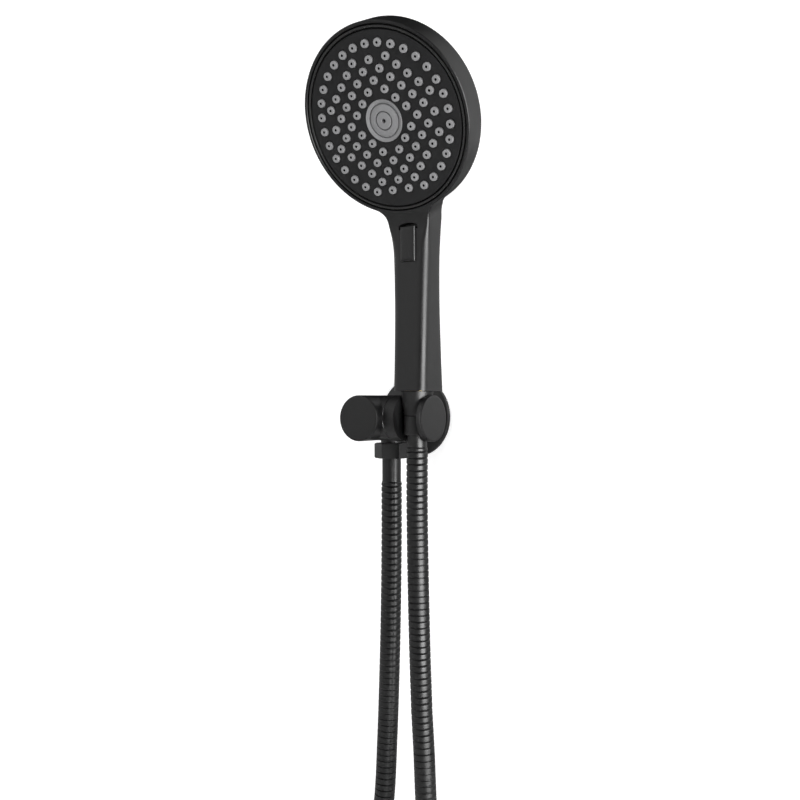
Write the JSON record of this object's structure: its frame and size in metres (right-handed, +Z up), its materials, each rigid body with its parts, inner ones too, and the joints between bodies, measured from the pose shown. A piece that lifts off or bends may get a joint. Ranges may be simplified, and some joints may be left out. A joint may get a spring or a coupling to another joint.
{
  "type": "hand shower with wall bracket",
  "caption": "Round-headed hand shower with a thumb button, resting in a tilting wall bracket that feeds its ribbed hose.",
  "frame": {"origin": "centre of the wall flange's back face, on the wall", "axes": "+Z up, +Y into the wall, the shower stands out along -Y and its seat is to the +X side"},
  "size_m": [0.164, 0.1131, 0.6995],
  "materials": {
    "black_plastic": "satin matte black moulding with soft edge highlights",
    "button_plastic": "satin matte black, slightly smoother where the thumb rests",
    "black_metal": "matte black coating over brass",
    "hose_black": "ribbed black hose jacket, satin",
    "tie_rubber": "matte black rubber strap",
    "faceplate_grey": "fine matte dark grey",
    "carrier_black": "deep matte black",
    "trim_black": "semi-gloss black ring",
    "nozzle_silicone": "soft light grey silicone",
    "centre_grey": "matte light grey",
    "seal_rubber": "black sealing rubber",
    "liner_nylon": "black nylon seat liner",
    "white_plastic": "off-white technical plastic",
    "valve_blue": "blue technical plastic",
    "brass_parts": "machined brass",
    "steel_parts": "stainless steel"
  },
  "bodies": {
    "bracket": {"wall_flange": "black_metal", "flange_gasket": "seal_rubber", "outlet_body": "black_metal", "front_cap": "black_metal", "cap_seal": "seal_rubber", "inlet_screen": "steel_parts", "valve_housing": "white_plastic", "valve_spring": "steel_parts", "outlet_nipple": "brass_parts", "outlet_nut": "black_metal", "outlet_washer": "seal_rubber", "outlet_ferrule": "black_metal", "hose_leg_outlet": "hose_black", "hose_coil": "hose_black", "hose_tie": "tie_rubber", "hose_leg_handset": "hose_black", "pivot_screw": "steel_parts", "friction_ring": "white_plastic", "locking_screw": "steel_parts"},
    "check_valve": {"valve_poppet": "valve_blue"},
    "holder": {"holder_cradle": "black_metal", "seat_liner": "liner_nylon", "end_cap": "black_metal"},
    "hose_end": {"hose_top": "hose_black"},
    "handset": {"handle_shell": "black_plastic", "tail_insert": "brass_parts", "tube_seals": "seal_rubber", "water_tube": "white_plastic", "valve_sleeve": "white_plastic", "neck_elbow": "white_plastic", "button_spring": "steel_parts", "cone_nut": "black_metal", "hose_washer": "seal_rubber", "head_shell": "black_plastic", "face_carrier": "carrier_black", "trim_ring": "trim_black", "faceplate": "faceplate_grey", "nozzle_mat": "nozzle_silicone", "spreader_plate": "white_plastic", "head_seal": "seal_rubber", "head_screws": "steel_parts", "centre_ring": "centre_grey", "centre_jet": "centre_grey"},
    "button": {"thumb_button": "button_plastic"},
    "spool": {"diverter_spool": "valve_blue"},
    "swivel": {"swivel_collar": "black_metal", "handset_ferrule": "black_metal"}
  },
  "joints": [
    {"name": "handset_lift", "type": "slide", "parent": "bracket", "child": "hose_end", "axis": [0, 0, 1], "range_m": [0, 0.04]},
    {"name": "handset_tilt", "type": "hinge", "parent": "hose_end", "child": "handset", "pos_m": [0.032, -0.049, 0], "axis": [1, 0, 0], "range_deg": [-10, 30], "deforming": ["hose_top"]},
    {"name": "holder_tilt", "type": "hinge", "parent": "bracket", "child": "holder", "pos_m": [0.032, -0.049, 0], "axis": [1, 0, 0], "range_deg": [-10, 30]},
    {"name": "button_press", "type": "slide", "parent": "handset", "child": "button", "axis": [0, 1, 0], "range_m": [0, 0.002], "stiffness_N_per_m": 800, "springref_m": -0.001, "deforming": ["button_spring"]},
    {"name": "spool_slide", "type": "slide", "parent": "handset", "child": "spool", "axis": [0, 0, 1], "range_m": [0, 0.003]},
    {"name": "poppet_open", "type": "slide", "parent": "bracket", "child": "check_valve", "axis": [0, -1, 0], "range_m": [0, 0.003], "stiffness_N_per_m": 60, "springref_m": -0.002, "deforming": ["valve_spring"]},
    {"name": "hose_swivel", "type": "hinge", "parent": "handset", "child": "swivel", "pos_m": [0.032, -0.049, 0], "axis": [0, 0, 1], "continuous": true}
  ],
  "couplings": [
    {"joint": "holder_tilt", "follows": "handset_tilt", "ratio": 1},
    {"joint": "spool_slide", "follows": "button_press", "ratio": 1.5}
  ]
}
